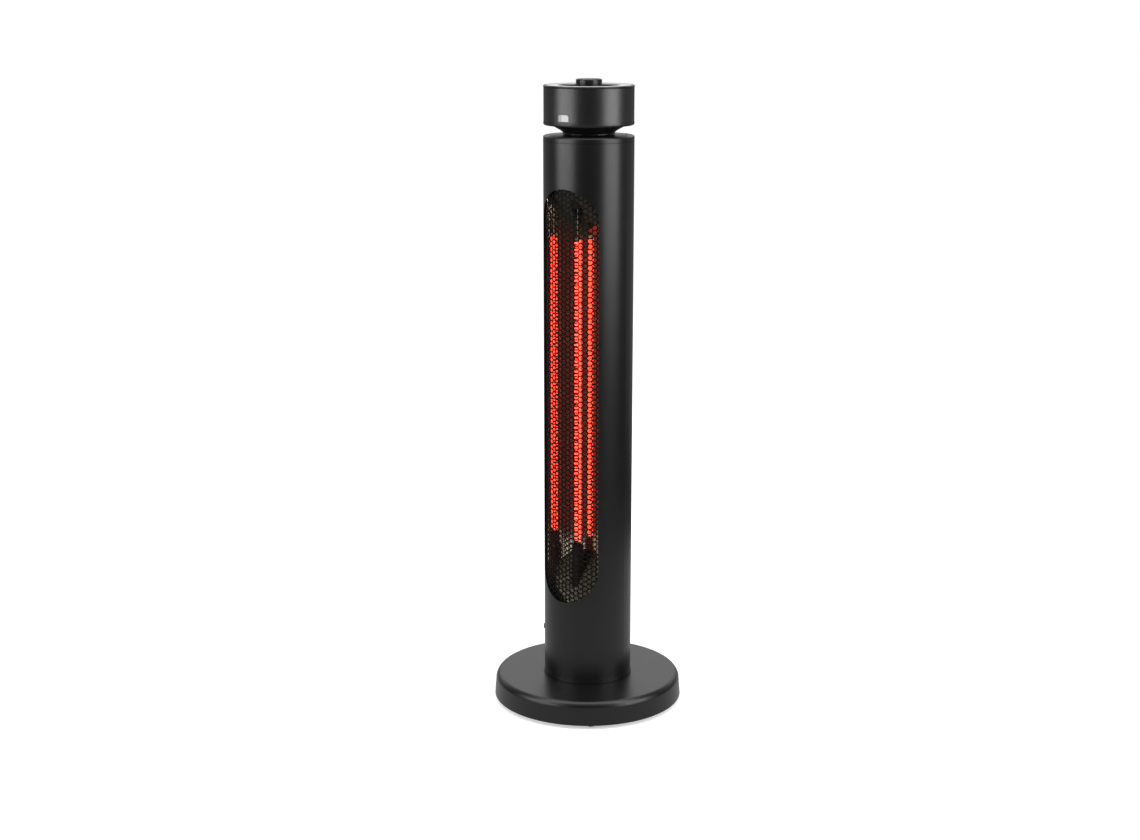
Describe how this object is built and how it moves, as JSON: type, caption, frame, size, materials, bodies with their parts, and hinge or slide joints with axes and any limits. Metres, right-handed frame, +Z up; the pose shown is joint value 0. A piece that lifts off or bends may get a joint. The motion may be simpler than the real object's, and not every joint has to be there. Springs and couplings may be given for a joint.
{
  "type": "infrared patio heater tower",
  "caption": "Free-standing infrared heater tower: weighted round base, swinging column with a caged quartz lamp in a mirror trough, and a control head with a knob.",
  "frame": {"origin": "on the floor, under the middle of the round base", "axes": "+Z up along the column's axis, -Y towards the front, where the lamp window and the receiver window face at rest, +X to the right as seen from the front"},
  "size_m": [0.2816, 0.2816, 0.9242],
  "materials": {
    "black_paint": "satin powder coat",
    "black_plastic": "fine texture",
    "bead_black": "semi-gloss",
    "mesh_black": "matt black",
    "steel": "plain",
    "zinc": "zinc plated",
    "cast": "rough",
    "rubber": "matt",
    "mirror": "polished aluminium",
    "silver_ring": "satin anodised",
    "ceramic": "fired ceramic",
    "quartz": "clear quartz",
    "ember": "glowing carbon",
    "pom": "moulded",
    "wire": "sheathed",
    "board": "circuit board",
    "lens": "translucent grey"
  },
  "bodies": {
    "base": {"base_cover": "black_paint", "base_plate": "steel", "ballast_ring": "cast", "rubber_feet": "rubber", "plate_screws": "zinc", "cord_gland": "black_plastic", "cord_clamp": "black_plastic", "clamp_screws": "zinc", "base_wiring": "wire", "terminal_block": "pom", "swing_motor": "steel", "motor_screws": "zinc", "thrust_bush": "pom"},
    "pinion": {"motor_shaft": "zinc", "motor_pinion": "pom"},
    "column": {"turntable": "black_plastic", "sector_gear": "pom", "gear_screws": "zinc", "column_tube": "black_paint", "tube_screws": "bead_black", "tube_lugs": "steel", "column_cap": "black_paint", "cap_screws": "bead_black", "mesh_grille": "mesh_black", "grille_studs": "steel", "grille_nuts": "zinc", "chassis": "zinc", "inner_screws": "zinc", "reflector": "mirror", "reflector_ends": "mirror", "reflector_screws": "zinc", "lamp_glass": "quartz", "lamp_filament": "ember", "lamp_leads": "zinc", "lamp_caps": "ceramic", "lamp_clips": "zinc", "thermal_cutout": "black_plastic", "tilt_housing": "pom", "tilt_cover": "pom", "tilt_pin": "zinc", "column_wiring": "wire", "neck_collar": "black_plastic", "neck_funnel": "black_plastic", "neck_screws": "zinc", "head_tray": "black_plastic", "head_shell": "black_paint", "rim_bead": "bead_black", "top_ring": "silver_ring", "dial_well": "black_plastic", "head_screws": "bead_black", "rotary_switch": "pom", "switch_nut": "zinc", "control_board": "board", "board_parts": "pom", "ir_receiver": "black_plastic", "receiver_lens": "lens"},
    "pendulum": {"tilt_pendulum": "cast"},
    "knob": {"switch_shaft": "zinc", "control_knob": "black_plastic", "knob_pointer": "silver_ring"}
  },
  "joints": [
    {"name": "column_swing", "type": "hinge", "parent": "base", "child": "column", "pos_m": [0, 0, 0.042], "axis": [0, 0, 1], "range_deg": [-35, 35]},
    {"name": "pinion_spin", "type": "hinge", "parent": "base", "child": "pinion", "pos_m": [-0.0525, 0, 0.03], "axis": [0, 0, 1], "range_deg": [-145, 145]},
    {"name": "knob_turn", "type": "hinge", "parent": "column", "child": "knob", "pos_m": [0, 0, 0.91], "axis": [0, 0, 1], "range_deg": [-135, 0]},
    {"name": "tilt_swing", "type": "hinge", "parent": "column", "child": "pendulum", "pos_m": [0, 0.038, 0.079], "axis": [1, 0, 0], "range_deg": [-18, 18]}
  ],
  "couplings": [
    {"joint": "pinion_spin", "follows": "column_swing", "ratio": -4}
  ]
}
